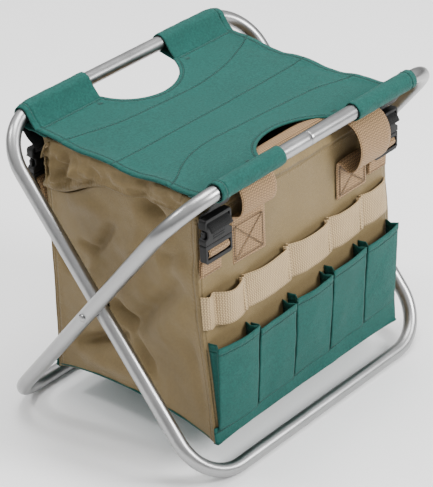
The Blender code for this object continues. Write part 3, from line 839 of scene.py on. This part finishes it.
def make_sleeve(side, end):
    """The seat's cloth round a bar at one end of the hand hole, following the start of the tube's bend."""
    section = sleeve_section()
    lengths = path_lengths(np.array([tuple(p) for p in section]))
    columns = 48
    _, along, _ = hoop_axes(side)

    def at(i, j):
        x = SLEEVE_IN + (SEAT_HALF_W + 0.0005 - SLEEVE_IN) * i / (columns - 1)
        drop = BEND_R - sqrt(BEND_R**2 - max(0.0, x - (HOOP_W[side] / 2 - BEND_R)) ** 2)
        p = section[j]
        near_bar = ease((0.02 - p.x) / 0.012)
        swell = 1 + 0.05 * ripple(x, j * 0.004, side, 0.012, 5 + end) * near_bar
        cuff = 1 + 0.035 * ease((x - 0.1455) / 0.002) - 0.02 * ease((0.0605 - x) / 0.002)
        inward, up = p * (swell * cuff) if near_bar > 0.5 else p
        gather = sin(x / 0.0016 + ripple(x, 0, 0, 0.01, 9) * 2)
        pucker = (1 - near_bar) * 0.0005 * gather * bell(p.x, 0.02, 0.005)
        place = np.array((end * x, side * (TOP_Y - inward), TOP_Z + up + max(0.0, pucker)))
        return place - along * drop * near_bar, (x, lengths[j]), (x - SIDE_SEAM_X,)

    name = f"seat_sleeve_{WHERE[side]}_{HAND[end]}"
    cover, points = sheet(f"{name}_cover", columns, len(section), at, "canvas", None, CANVAS_T, offset=0.0)
    mount(cover, HOOP_BODY[side], name)
    ring = int(round((SIDE_SEAM_X - SLEEVE_IN) / (SEAT_HALF_W - SLEEVE_IN) * (columns - 1)))
    line = points[ring, 5:-2]
    ups = unit((line - (0, side * TOP_Y, TOP_Z)) * (0, 1, 1))
    sewn = stitches(f"{name}_stitching", [(line + ups * (CANVAS_T / 2 + 0.0001), ups)], "green_thread")
    mount(sewn, HOOP_BODY[side])


# ==== bag shell
def wall_y(side, z):
    """Where the front or rear wall stands at a height; the front leans out towards the base."""
    return float(np.interp(z, *WALL_LINES[side]))


BASE_EDGE = {side: wall_y(side, BASE_Z) for side in SIDES}
BASE_DEPTH = BASE_EDGE[1] - BASE_EDGE[-1]


def base_z(x, y):
    """The soft base: its corners hang lowest and its two end edges arch up."""
    depth = (y - BASE_EDGE[-1]) / BASE_DEPTH
    out = abs(x) / BAG_HALF_W
    arch = 0.0125 * sin(pi * clip(depth)) ** 0.8 * out**3
    corner = -0.0035 * out**6 * abs(2 * depth - 1) ** 4
    return BASE_Z + arch + corner + 0.0012 * ripple(x, y, 0, 0.05, 11) * (1 - out**4)


def wall_surface(x, z, side):
    """Outer face of the front or rear wall with its soft folds."""
    free = sin(pi * clip((z - BASE_Z) / (HEM_Z - BASE_Z)))
    fold = 0.0022 * sin(x / 0.021 + 1.6 * ripple(x, 0, z, 0.08, 17 + side)) * free
    soft = 0.0016 * ripple(x, 0, z * 0.6, 0.035, 13 + side)
    corner = -0.0035 * (abs(x) / BAG_HALF_W) ** 10
    belly = 0.0015 * free * (1 - (x / BAG_HALF_W) ** 2)
    return wall_y(side, z) + side * (fold * 0.5 + soft + belly + corner)


def droop(x, side):
    """How far the top of the rear wall hangs down between its buckles."""
    return REAR_DROOP * (1 - min(1.0, abs(x) / 0.14) ** 4) if side > 0 else 0.0


def make_wall(side):
    """Front or rear wall from the base seam to the top hem."""
    columns, rows = 101, 84

    def at(i, j):
        x = -BAG_HALF_W + 2 * BAG_HALF_W * i / (columns - 1)
        low, high = base_z(x, BASE_EDGE[side]) + 0.001, HEM_Z + 0.002 - droop(x, side)
        z = low + (high - low) * j / (rows - 1)
        return (x, wall_surface(x, z, side), z), (x, z), (abs(x) - (BAG_HALF_W - 0.004), z - (high - 0.0035))

    where = WHERE[side]
    wall, _ = sheet(f"{where}_wall", columns, rows, at, "bag", (0, side, 0))
    mount(wall, BAG_BODY[side], f"bag_{where}_panel")


def make_hem(side):
    """Doubled cloth above the wall seam, leaning in to the rim."""
    columns = 101

    def at(i, j):
        x = (BAG_HALF_W + 0.0005) * (2 * i / (columns - 1) - 1)
        share, inward = HEM_PROFILE[j]
        z = HEM_Z - droop(x, side) + (RIM_Z - HEM_Z) * share + 0.0012 * ripple(x, side, share, 0.03, 21)
        y = side * (0.1098 - 0.0105 * share**1.3) + 0.001 * ripple(x, share * 0.02, side, 0.022, 23)
        seam = (share - 0.05) * 0.02 if inward == 0 else FAR
        return (x, y - side * inward, z), (x, share * 0.022 + inward), (seam,)

    where = WHERE[side]
    hem, _ = sheet(f"{where}_hem", columns, len(HEM_PROFILE), at, "bag", None, offset=0.0)
    mount(hem, BAG_BODY[side], f"bag_hem_{where}")


def end_depth(y, z, end):
    """How far the end wall stands out from its flat plane."""
    low = base_z(end * BAG_HALF_W, y)
    up = clip((z - low) / (HEM_Z - low))
    across = clip((y - wall_y(-1, z)) / (wall_y(1, z) - wall_y(-1, z)))
    free = sin(pi * across) ** 0.7 * sin(pi * (0.08 + 0.84 * up)) ** 0.6
    depth = -0.0055 * free
    shift = 0.0 if end < 0 else 0.011
    for start, finish, width, height in END_FOLDS:
        start, finish = (start[0] + shift, start[1] - shift), (finish[0] - shift, finish[1] + shift)
        depth += FOLD_GAIN * crease(y, z, start, finish, FOLD_NARROWING * width, height) * min(1.0, free * 1.8)
    ridge = 1 - 2 * abs(ripple(y * 1.2, z * 0.8, 0, 0.06, 71 + end))
    soft, fine = ripple(y, z * 0.7, 0, 0.036, 31 + end), ripple(y, z, 0, 0.014, 37 + end)
    return depth + 0.003 * ridge * free + 0.0026 * soft * free + 0.0012 * fine * free


def end_hem_z(y, end):
    """Height of the seam under the end's top hem; the left one is crushed down towards the rear."""
    if end > 0:
        return HEM_Z + 0.001 - 0.004 * ease((y - 0.02) / 0.08)
    return HEM_Z + 0.003 - 0.005 * ease((y + 0.06) / 0.05) - 0.03 * ease((y - 0.01) / 0.085)


def make_end(end):
    """End wall and the crumpled hem above it."""
    columns, rows = 96, 96
    hand = HAND[end]

    def at(i, j):
        across = i / (columns - 1)
        y0 = BASE_EDGE[-1] + 0.0005 + (BASE_DEPTH - 0.001) * across
        low = base_z(end * BAG_HALF_W, y0)
        z = low + (end_hem_z(y0, end) - low) * j / (rows - 1)
        front = wall_surface(end * BAG_HALF_W, z, -1) + 0.0006
        rear = wall_surface(end * BAG_HALF_W, z, 1) - 0.0006
        y = front + (rear - front) * across
        seam = min(y - front - 0.004, rear - 0.004 - y, key=abs)
        return (end * (BAG_HALF_W + end_depth(y, z, end)), y, z), (y, z), (seam,)

    wall, _ = sheet(f"end_wall_{hand}", columns, rows, at, "bag", (end, 0, 0))
    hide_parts(f"bag_end_{hand}")
    hem = make_end_hem(end)
    for piece in (wall, hem):
        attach(piece, "bag")
        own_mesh(piece)


def make_end_hem(end):
    """The hem flap of an end, pushed down and crumpled by the seat above it."""
    columns, rows = 110, 22

    def at(i, j):
        y, share = -0.1075 + 0.215 * (i / (columns - 1)), j / (rows - 1)
        seam_z = end_hem_z(y, end)
        z = seam_z - 0.0008 + (END_RIM_Z - seam_z) * share
        crush = (1.0 if end < 0 else 0.35) * ease((y - 0.01) / 0.07)
        middle = sin(pi * share)
        fold = 0.0074 * crush * middle * sin(y / 0.0065 + 2.2 * ripple(y, z, 0, 0.02, 41))
        fold += 0.0052 * middle * ripple(y, z * 1.8, 0, 0.016, 43 + end)
        fold += 0.0024 * ripple(y, z, 0, 0.008, 47 + end) * middle * (0.5 + 2.2 * crush)
        fold -= 0.004 * crush * middle * abs(ripple(y * 1.3, z, 0, 0.013, 49))
        lean = -0.003 * share * share + 0.003 * middle
        roll = 0.003 * bell(share, 0.07, 0.07)
        x = end * (BAG_HALF_W + end_depth(y, seam_z, end) + lean + fold + roll)
        return (x, y, z), (y, z), (share * 0.02 - 0.0012, y + 0.088)

    hem, _ = sheet(f"end_hem_{HAND[end]}", columns, rows, at, "bag", (end, 0, 0), 0.0018)
    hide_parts(f"bag_hem_{HAND[end]}")
    return hem


def make_base():
    """Green base cloth with its turned-up bands, and the thin board inside."""
    columns, rows = 90, 64
    edge, depth = BASE_EDGE[-1] - 0.0008, BASE_DEPTH + 0.0016
    for name, node, drop, look, inset, thickness in (
        ("base_cloth", "bag_base", 0.0, "canvas", 0.0, 0.0016),
        ("base_stiffener", "base_board", 0.003, "board", 0.004, 0.0014),
    ):
        def at(i, j):
            x = (BAG_HALF_W - 0.0005 - inset) * (2 * i / (columns - 1) - 1)
            y = edge + inset + (depth - 2 * inset) * j / (rows - 1)
            return (x, y, base_z(x, y) + drop), (x, y), (FAR,)

        piece, _ = sheet(name, columns, rows, at, look, (0, 0, -1), thickness)
        mount(piece, "bag", node)
        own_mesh(piece)
    for side in SIDES:
        make_band(side)


def band_top(x, side):
    """Top edge of a green band; the front one rises a little to the right."""
    return BAND_TOP + (0.0075 * x / 0.15 if side < 0 else 0.0)


def make_band(side):
    """Green band from under the base up the front or rear wall, with its folded top edge."""
    edge_y = BASE_EDGE[side]
    turned, rising = 4, 14  # rows under the edge and rows up the wall

    def at(i, j):
        x = (BAG_HALF_W + 0.0012) * (2 * i / (BAND_COLUMNS - 1) - 1)
        low = base_z(min(BAG_HALF_W, max(-BAG_HALF_W, x)), edge_y)
        if j < turned:
            y, z = ((edge_y - side * (0.006 - 0.002 * j), low - 0.0004) if j < 3 else (edge_y + side * 0.0006, low))
            return (x * 0.988, y, z), (x, low - 0.002 * (turned - j)), (FAR,)
        share = (j - turned) / (rising - 1)
        z = low + 0.0012 + (band_top(x, side) - low) * share
        off = 0.0014 + 0.0006 * bell(share, 0.93, 0.07) - 0.0005 * ease((share - 0.96) / 0.04)
        return (x, wall_surface(x * 0.99, z, side) + side * off, z), (x, z), (z - (band_top(x, side) - BAND_HEM),)

    name = f"base_band_{WHERE[side]}"
    band, _ = sheet(f"{name}_cloth", BAND_COLUMNS, turned + rising, at, "canvas", (0, side, 0), 0.0012, offset=0.0)
    mount(band, BAG_BODY[side], name)
    line = []
    for x in (-0.15 + 0.003 * k for k in range(101)):
        z = band_top(x, side) - BAND_HEM
        line.append((x, wall_surface(x * 0.99, z, side) + side * 0.0024, z))
    mount(stitches(f"{name}_stitching", [(line, (0, side, 0))], "green_thread"), BAG_BODY[side])


# ==== pockets and tool loops
def pocket_outline(x_low, x_high, depth, share):
    """Plan of a pleated pocket at one height, as (x, out from the wall): left gusset, face, right gusset."""
    tuck = 0.0042 * share
    gusset = ((0.003, 0.0), (0.0018 + tuck * 0.5, 0.25), (0.0012 + tuck, 0.52), (0.0008 + tuck * 0.4, 0.8))
    low, high = x_low + 0.0004, x_high - 0.0004
    line = [(x_low + inward, depth * out) for inward, out in gusset] + [(low, depth)]
    for t in (k / FACE_STEPS for k in range(1, FACE_STEPS)):
        line.append((low + (high - low) * t, depth + 0.0012 * share * sin(pi * t) ** 0.8))
    return line + [(high, depth)] + [(x_high - inward, depth * out) for inward, out in gusset[::-1]]


def make_pocket(n):
    """Pocket n from the left, with a gusset on each side and a hem along its mouth."""
    step = 2 * POCKETS_HALF_W / len(POCKET_TOPS)
    x_low = -POCKETS_HALF_W + n * step + 0.0006
    x_high = x_low + step - 0.0012
    middle = (x_low + x_high) / 2
    top, low = POCKET_TOPS[n], band_top(middle, -1) - 0.004
    rows = 44
    shares = [j / (rows - 1) for j in range(rows)]
    outlines = [np.array(pocket_outline(x_low, x_high, 0.003 + 0.013 * s**0.85, 0.25 + 0.75 * s)) for s in shares]
    runs = [path_lengths(line) for line in outlines]
    columns = len(outlines[0])

    def at(i, j):
        share, (x, out) = shares[j], outlines[j][i]
        z = low + (top - low) * share
        top_dip = 0.0004 * sin(pi * i / (columns - 1)) ** 2 * share**6
        tilt = 0.002 * ((x - middle) / step) * share**4
        soft = 0.0007 * ripple(x, out, z, 0.017, 51 + n) * min(1.0, out / 0.006)
        hem = 0.0005 * ease((z - top + POCKET_HEM) / 0.0015) if 3 < i < columns - 4 else 0
        y = wall_surface(x, z, -1) - 0.0004 - out - soft - hem
        return (x, y, z - top_dip + tilt), (runs[j][i], z), (z - (top - POCKET_HEM),)

    name = f"pocket_{n + 1}"
    pocket, points = sheet(f"{name}_cloth", columns, rows, at, "canvas", (0, -1, 0), 0.001)
    mount(pocket, "bag", name)
    row = int(round((top - POCKET_HEM - low) / (top - low) * (rows - 1)))
    line = points[5:-5, row] + (0, -0.00035, 0)
    mount(stitches(f"{name}_stitching", [(line, (0, -1, 0))], "green_thread"), "bag")


def loop_plan():
    """Plan of the tool-loop webbing as (x, out from the wall): each loop swells, then falls back to its seam."""
    plan = [*FIRST_LOOPS, (LOOP_STITCHES[0], 0.0009)]
    for a, b, swell in zip(LOOP_STITCHES, LOOP_STITCHES[1:], LOOP_SWELLS):
        plan += [(a + share * (b - a), swell * out) for share, out in LOOP_PROFILE]
        plan += [(b - 0.005, swell * 0.66), (b - 0.0016, swell * 0.4), (b, 0.0009)]
    return plan


def make_tool_loops():
    """One strip of webbing sewn down between its loops, with the seams' threads and curls."""
    path = smooth_path([(x, 0, out) for x, out in loop_plan()], 0.0016)
    lengths = path_lengths(path)
    rows = 15

    def at(i, j):
        x, _, out = path[i]
        w = -1 + 2 * j / (rows - 1)
        sag = 0.0016 * sin(pi * clip((x + 0.15) / 0.3))
        z = LOOP_Z + w * LOOP_W / 2 + LOOP_RISE * (x / 0.15) - sag + 0.001 * ripple(x, 0, 0, 0.03, 61)
        y = wall_surface(x, z, -1) - 0.0006 - out * (1.0 + 0.16 * w) - 0.0003 * ripple(x, z, 0, 0.01, 63)
        return (x, y, z), (lengths[i], w * LOOP_W / 2), [x - s for s in LOOP_STITCHES[:-1]]

    band, points = sheet("tool_loops", len(path), rows, at, "loop", (0, -1, 0), 0.0015)
    mount(band, "bag", "tool_loop_webbing")
    nearest = [int(np.argmin(abs(path[:, 0] - s))) for s in LOOP_STITCHES[:-1]]
    runs = [(points[i, 1:-1] + (0.0, -0.0003, 0.0), (0, -1, 0)) for i in nearest]
    mount(stitches("tool_loops_stitching", runs, "web_thread"), "bag")
    for n, s in enumerate(LOOP_STITCHES[:-1]):
        make_loop_curl(n, s)


def make_loop_curl(n, x):
    """The small curl where spare webbing is folded back at a loop's seam."""
    angles = [radians(200 - 250 * k / 12) for k in range(13)]
    path = [(x - 0.0052 + 0.003 * cos(a), 0.0034 + 0.0027 * sin(a)) for a in angles]
    rows = 11

    def at(i, j):
        px, out = path[i]
        w = -1 + 2 * j / (rows - 1)
        z = LOOP_Z + 0.0012 + w * LOOP_W / 2 * 0.99 + LOOP_RISE * (x / 0.15)
        return (px, wall_surface(px, z, -1) - 0.0002 - out, z), (i * 0.0008, w * LOOP_W / 2), (FAR,)

    curl, _ = sheet(f"tool_loop_curl_{n + 1}", len(path), rows, at, "loop", None, 0.0013, offset=0.0)
    mount(curl, "bag")


# ==== handles, buckles and straps
def box_x_seam(high):
    """Signed distances to the box and the crossed lines sewn on a handle's patch, which ends this high."""
    middle, half = (PATCH_INSET + high) / 2, (high - PATCH_INSET) / 2
    slope = PATCH_HALF_W / half
    tilt = 1 / hypot(1, slope)

    def seam(along, v):
        u = along - middle
        if abs(u) > half + 0.002:
            return FAR, FAR, FAR
        box = max(abs(u) - half, abs(v) - PATCH_HALF_W)
        if abs(u) > half - 0.001:
            return box, FAR, FAR
        return box, (v - u * slope) * tilt, (v + u * slope) * tilt

    return seam


def make_handle(side):
    """Webbing handle: two legs sewn to the wall with a crossed box, and the grip along the rim."""
    name = f"handle_{WHERE[side]}"
    legs, runs = [], []
    for end in ENDS:
        line, shift, lean_out, patch_top = LEGS[side, end]
        x = end * HANDLE_X + shift
        path = smooth_path([(x + lean_out * max(0.0, y - 0.113), side * y, z) for y, z in line], 0.0022)
        across = unit(np.array([(1.0, -0.044 if end < 0 else 0.0, 0.0)]))[0]
        legs.append(strap(f"{name}_leg_{HAND[end]}", path, HANDLE_W, 0.0018, "webbing", side=across,
                          seam=box_x_seam(patch_top), crown=0.0006))
        runs += patch_stitches(x, side, patch_top)
    drop = 0.0 if side < 0 else REAR_GRIP_DROP
    path = smooth_path([(x, side * y, z - drop) for x, y, z in GRIP], 0.004)
    across = unit(on_each((0.0, 0.94, 0.34 * side), path))
    grip = strap(f"{name}_grip", path, 0.026, 0.0034, "webbing", side=across, crown=0.002)
    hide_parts(name)
    sewn = stitches(f"{name}_stitching", runs, "web_thread", 0.003, 0.0024, 0.00034)
    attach(sewn, BAG_BODY[side])
    for piece in (*legs, grip):
        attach(piece, BAG_BODY[side])
        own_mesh(piece)


def patch_stitches(x, side, top):
    """The box and cross on a handle's patch."""
    y, low, high = side * 0.1126, PATCH_LOW + PATCH_INSET, PATCH_LOW + top
    a, b, c, d = ((x + u * PATCH_HALF_W, z) for u, z in ((-1, low), (1, low), (1, high), (-1, high)))
    runs = []
    for (x0, z0), (x1, z1) in ((a, b), (b, c), (c, d), (d, a), (a, c), (b, d)):
        line = [(x0 + (x1 - x0) * t, y, z0 + (z1 - z0) * t) for t in np.linspace(0, 1, 12)]
        runs.append((line, (0, side, 0)))
    return runs


def block(name, outline, depth, y, bevel):
    """A black plastic block from an outline in X and Z, this deep about y."""
    work = bmesh.new()
    face = work.faces.new([work.verts.new((x, y - depth / 2, z)) for x, z in outline])
    extruded = bmesh.ops.extrude_face_region(work, geom=[face])
    moved = [v for v in extruded["geom"] if isinstance(v, bmesh.types.BMVert)]
    bmesh.ops.translate(work, vec=(0, depth, 0), verts=moved)
    bmesh.ops.recalc_face_normals(work, faces=work.faces)
    mesh = bpy.data.meshes.new(name)
    work.to_mesh(mesh)
    work.free()
    obj = link(name, mesh, "plastic")
    if bevel:
        rounding = obj.modifiers.new("Bevel", "BEVEL")
        rounding.width = bevel
        rounding.segments = 3
        rounding.limit_method = "ANGLE"
        rounding.angle_limit = radians(30)
    return obj


def rectangle(x0, z0, x1, z1):
    return [(x0, z0), (x1, z0), (x1, z1), (x0, z1)]


def mirrored(x, right):
    """A closed outline from the offsets of its right half, bottom to top, starting at the bottom left."""
    left = [(x - out, z) for out, z in right]
    return left[:1] + [(x + out, z) for out, z in right] + left[:0:-1]


def combine(obj, others, operation):
    """Joins or cuts the object with the others, and replaces its mesh by the result."""
    for other in others:
        modifier = obj.modifiers.new("Combine", "BOOLEAN")
        modifier.operation = operation
        modifier.solver = "EXACT"
        modifier.object = other
    evaluated = obj.evaluated_get(bpy.context.evaluated_depsgraph_get())
    mesh = bpy.data.meshes.new_from_object(evaluated)
    obj.modifiers.clear()
    obj.data = mesh
    for other in others:
        bpy.data.objects.remove(other, do_unlink=True)


def make_housing(label, x, y):
    """The socket half: waisted, open below, windowed for the ears, ribbed, with a slot for its strap."""
    half, low, high = BUCKLE_HALF_W, BUCKLE_LOW, BUCKLE_HIGH
    right = ((half, low), (half, low + 0.0062), (half - 0.0042, low + 0.009), (half - 0.004, low + 0.015),
             (half - 0.0002, low + 0.0185), (half - 0.0006, high - 0.002), (half - 0.002, high))
    housing = block(f"buckle_{label}_housing", mirrored(x, right), 0.0092, y, 0.0013)
    mouth = block("mouth", rectangle(x - half + 0.0028, low - 0.003, x + half - 0.0028, 0.296), 0.0056, y, 0)
    window = block("window", rectangle(x - half - 0.003, 0.285, x + half + 0.003, 0.2928), 0.005, y, 0)
    slot = block("slot", rectangle(x - SLOT_HALF_W, 0.2992, x + SLOT_HALF_W, 0.3028), 0.02, y, 0)
    combine(housing, [mouth, window, slot], "DIFFERENCE")
    ribs = []
    for z in (low + 0.0042 + 0.0028 * k for k in range(3)):
        ribs.append(block("rib", rectangle(x - 0.0085, z, x + 0.0085, z + 0.001), 0.0101, y, 0.0003))
    combine(housing, ribs, "UNION")
    return housing


def make_plug(label, x, y, side):
    """The plug half: a frame round the tab's bar, a middle prong and two eared arms."""
    half, low = BUCKLE_HALF_W, BUCKLE_LOW
    right = ((half - 0.003, PLUG_LOW), (half, PLUG_LOW + 0.003), (half, low - 0.0006))
    plug = block(f"buckle_{label}_plug", mirrored(x, right), 0.0086, y, 0.0012)
    slot = block("slot", rectangle(x - SLOT_HALF_W, 0.261, x + SLOT_HALF_W, 0.2722), 0.02, y, 0)
    combine(plug, [slot], "DIFFERENCE")
    prongs = [
        block("bar", rectangle(x - 0.0175, 0.2654, x + 0.0175, 0.2676), 0.0026, y + side * 0.0008, 0.0006),
        block("prong", rectangle(x - 0.0024, low - 0.002, x + 0.0024, 0.2945), 0.0036, y, 0.0006),
    ]
    inner, outer = 0.01, 0.0158
    arm = ((inner, low - 0.002), (outer, low - 0.002), (outer, 0.285), (0.0194, 0.2862), (0.0196, 0.2915),
           (outer, 0.294), (0.0125, 0.2948), (inner, 0.285))
    for ear in (-1, 1):
        prongs.append(block("arm", [(x + ear * out, z) for out, z in arm], 0.0038, y, 0.0006))
    combine(plug, prongs, "UNION")
    return plug


def make_buckle(side, end):
    """Side-release buckle: housing on the hanger strap, plug on the bag's tab."""
    label = f"{WHERE[side]}_{HAND[end]}"
    x, y = BUCKLE_XS[side, end], side * BUCKLE_Y
    housing, plug = make_housing(label, x, y), make_plug(label, x, y, side)
    for piece in (housing, plug):
        set_attribute(piece.data, "seam", np.full((len(piece.data.vertices), 3), FAR))
    mount(housing, "outer_frame" if side < 0 else "rear_buckles", f"buckle_housing_{label}")
    mount(plug, BAG_BODY[side], f"buckle_plug_{label}")
    make_hanger(label, side, x)
    make_tab(label, side, x)


def make_hanger(label, side, x):
    """Black strap from the bar down to the housing's slot."""
    top = TOP_Z - TUBE_R - 0.0016 - (0.001 if side < 0 else 0.006)
    line = ((0.129, 0.2925), (0.1262, 0.2975), (0.1205, 0.301), (0.115, 0.3012), (0.1128, 0.304), (0.116, 0.309),
            (0.124, 0.315), (0.132, top))
    path = smooth_path([(x, side * y, z) for y, z in line], 0.002)
    mount(strap(f"hanger_{label}", path, STRAP_W, 0.0016, "strap"), HOOP_BODY[side], f"hanger_strap_{label}")


def make_tab(label, side, x):
    """Tan tab sewn to the wall and looped round the plug's bar."""
    wall = abs(wall_y(-1, 0.236)) + 0.0012
    line = ((wall, 0.233), (wall - 0.0002, 0.245), (wall + 0.0003, 0.2545), (wall + 0.004, 0.263), (0.1185, 0.269),
            (0.1215, 0.2708), (0.1236, 0.269), (0.124, 0.2655), (0.1215, 0.2625), (0.118, 0.2575),
            (wall + 0.0036, 0.252), (wall + 0.0022, 0.244), (wall + 0.0018, 0.2345))
    path = smooth_path([(x, side * y, z) for y, z in line], 0.0018)
    tab = strap(f"buckle_{label}_tab", path, TAB_W, 0.0015, "webbing")
    mount(tab, BAG_BODY[side], f"buckle_tab_{label}")
    runs = []
    for z in (0.2365, 0.248):
        row = [(x - 0.0125 + 0.025 * t, side * (wall + 0.0029), z) for t in np.linspace(0, 1, 9)]
        runs.append((row, (0, side, 0)))
    sewn = stitches(f"buckle_{label}_tab_stitching", runs, "web_thread", 0.0028, 0.0022, 0.00032)
    mount(sewn, BAG_BODY[side])


make_camera()
make_studio()
make_frame()
make_seat()
for wall_side in SIDES:
    make_wall(wall_side)
    make_hem(wall_side)
    make_handle(wall_side)
for bag_end in ENDS:
    make_end(bag_end)
make_base()
for pocket_number in range(len(POCKET_TOPS)):
    make_pocket(pocket_number)
make_tool_loops()
for wall_side in SIDES:
    for bag_end in ENDS:
        make_buckle(wall_side, bag_end)
